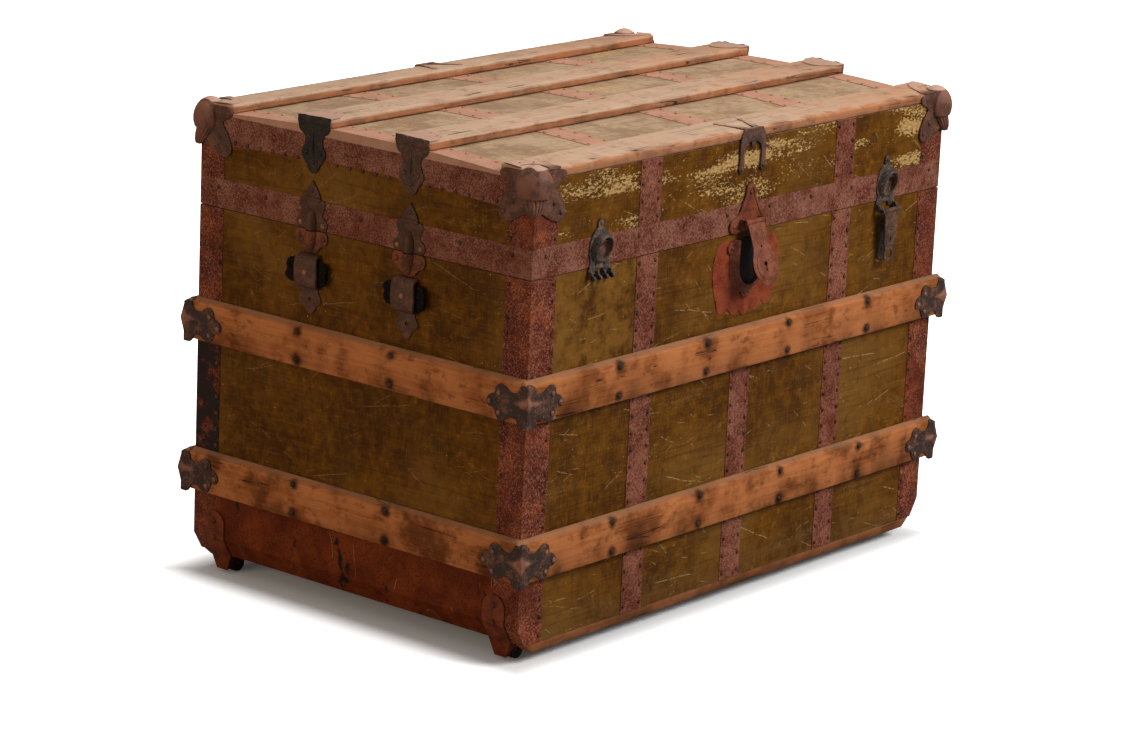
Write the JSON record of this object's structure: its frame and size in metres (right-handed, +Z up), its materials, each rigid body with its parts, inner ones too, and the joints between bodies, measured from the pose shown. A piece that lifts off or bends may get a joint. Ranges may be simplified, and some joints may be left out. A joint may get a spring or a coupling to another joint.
{
  "type": "steamer trunk",
  "caption": "Low-crowned slatted travel trunk: canvas-covered boards, rusted sheet-metal bindings, wooden slats, corner castings, end rollers, a hasp lock and a hinged lid.",
  "frame": {"origin": "on the ground that the four rollers stand on, at the middle of the trunk's box in length and depth (the hasp stands ajar, so the middle of the overall box lies further forward)", "axes": "+X along the trunk's length (left is -X), -Y out of the lock side, +Y towards the hinges, +Z up"},
  "size_m": [0.8984, 0.6234, 0.646],
  "materials": {
    "bare_boards": "aged softwood boards, raw on the inside",
    "painted_canvas": "dark olive-brown painted canvas, flaked to a cream-tan ground",
    "paper_lining": "aged printed-paper lining, yellowed",
    "rusted_sheet": "thin sheet iron, purplish red-brown rust, finely speckled",
    "apron_sheet": "sheet iron panel, deep rust red, scratched",
    "worn_slat_wood": "hardwood slats, orange-brown varnish worn grey on the edges",
    "dark_casting": "black-brown pressed iron",
    "bumper_metal": "mauve-brown rusted pressed steel",
    "roller_iron": "black iron",
    "dowel_iron": "glossy brown iron, orange rust below",
    "handle_leather": "black, dry, torn",
    "hinge_iron": "dark rusted iron",
    "lock_metal": "pinkish-brown worn brass-plated iron",
    "latch_iron": "blue-grey worn iron with brown rust"
  },
  "bodies": {
    "trunk_body": {"front_board": "bare_boards", "back_board": "bare_boards", "left_end_board": "bare_boards", "right_end_board": "bare_boards", "floor_board": "bare_boards", "body_canvas": "painted_canvas", "body_lining": "paper_lining", "body_corner_bindings": "rusted_sheet", "end_aprons": "apron_sheet", "body_straps": "rusted_sheet", "lower_front_slat": "worn_slat_wood", "lower_back_slat": "worn_slat_wood", "lower_left_slat": "worn_slat_wood", "lower_right_slat": "worn_slat_wood", "upper_front_slat": "worn_slat_wood", "upper_back_slat": "worn_slat_wood", "upper_left_slat": "worn_slat_wood", "upper_right_slat": "worn_slat_wood", "bottom_runners": "worn_slat_wood", "slat_corners": "dark_casting", "roller_brackets": "roller_iron", "roller_axles": "roller_iron", "lower_dowels": "dowel_iron", "handle_loops": "dowel_iron", "handle_leather": "handle_leather", "body_hinge_leaves": "hinge_iron", "hinge_pins": "hinge_iron", "lock_shell_plate": "lock_metal", "lock_bowl": "lock_metal", "latch_catch": "latch_iron"},
    "lid": {"upper_dowels": "dowel_iron", "lid_top_board": "bare_boards", "lid_front_board": "bare_boards", "lid_back_board": "bare_boards", "lid_end_boards": "bare_boards", "lid_canvas": "painted_canvas", "lid_lining": "paper_lining", "lid_rim_band": "rusted_sheet", "lid_corner_bindings": "rusted_sheet", "lid_end_bands": "rusted_sheet", "lid_straps": "rusted_sheet", "lid_front_slat": "worn_slat_wood", "lid_inner_front_slat": "worn_slat_wood", "lid_inner_back_slat": "worn_slat_wood", "lid_back_slat": "worn_slat_wood", "slat_end_clamps": "dark_casting", "horseshoe_clamps": "dark_casting", "lid_corner_bumpers": "bumper_metal", "lid_hinge_leaves": "hinge_iron", "hasp_lid_plate": "lock_metal", "lid_hardware_pins": "latch_iron", "latch_plates": "latch_iron"},
    "hasp": {"hasp": "lock_metal", "lock_box": "lock_metal"},
    "lock_bolt": {"lock_bolt": "lock_metal"},
    "latch_lever": {"latch_lever": "latch_iron"},
    "front_left_roller": {"front_left_roller": "roller_iron"},
    "front_right_roller": {"front_right_roller": "roller_iron"},
    "back_left_roller": {"back_left_roller": "roller_iron"},
    "back_right_roller": {"back_right_roller": "roller_iron"}
  },
  "joints": [
    {"name": "lid_hinge", "type": "hinge", "parent": "trunk_body", "child": "lid", "pos_m": [0, 0.2872, 0.4976], "axis": [-1, 0, 0], "range_deg": [0, 100]},
    {"name": "hasp_hinge", "type": "hinge", "parent": "lid", "child": "hasp", "pos_m": [0, -0.294, 0.513], "axis": [-1, 0, 0], "range_deg": [-20, 110]},
    {"name": "lock_bolt_slide", "type": "slide", "parent": "hasp", "child": "lock_bolt", "axis": [1, 0, 0], "range_m": [0, 0.011]},
    {"name": "latch_lever_hinge", "type": "hinge", "parent": "lid", "child": "latch_lever", "pos_m": [0.305, -0.295, 0.485], "axis": [-1, 0, 0], "range_deg": [0, 110]},
    {"name": "front_left_roller_axle", "type": "hinge", "parent": "trunk_body", "child": "front_left_roller", "pos_m": [-0.397, -0.244, 0.0115], "axis": [0, 1, 0], "continuous": true},
    {"name": "front_right_roller_axle", "type": "hinge", "parent": "trunk_body", "child": "front_right_roller", "pos_m": [0.397, -0.244, 0.0115], "axis": [0, 1, 0], "continuous": true},
    {"name": "back_left_roller_axle", "type": "hinge", "parent": "trunk_body", "child": "back_left_roller", "pos_m": [-0.397, 0.244, 0.0115], "axis": [0, 1, 0], "continuous": true},
    {"name": "back_right_roller_axle", "type": "hinge", "parent": "trunk_body", "child": "back_right_roller", "pos_m": [0.397, 0.244, 0.0115], "axis": [0, 1, 0], "continuous": true}
  ]
}
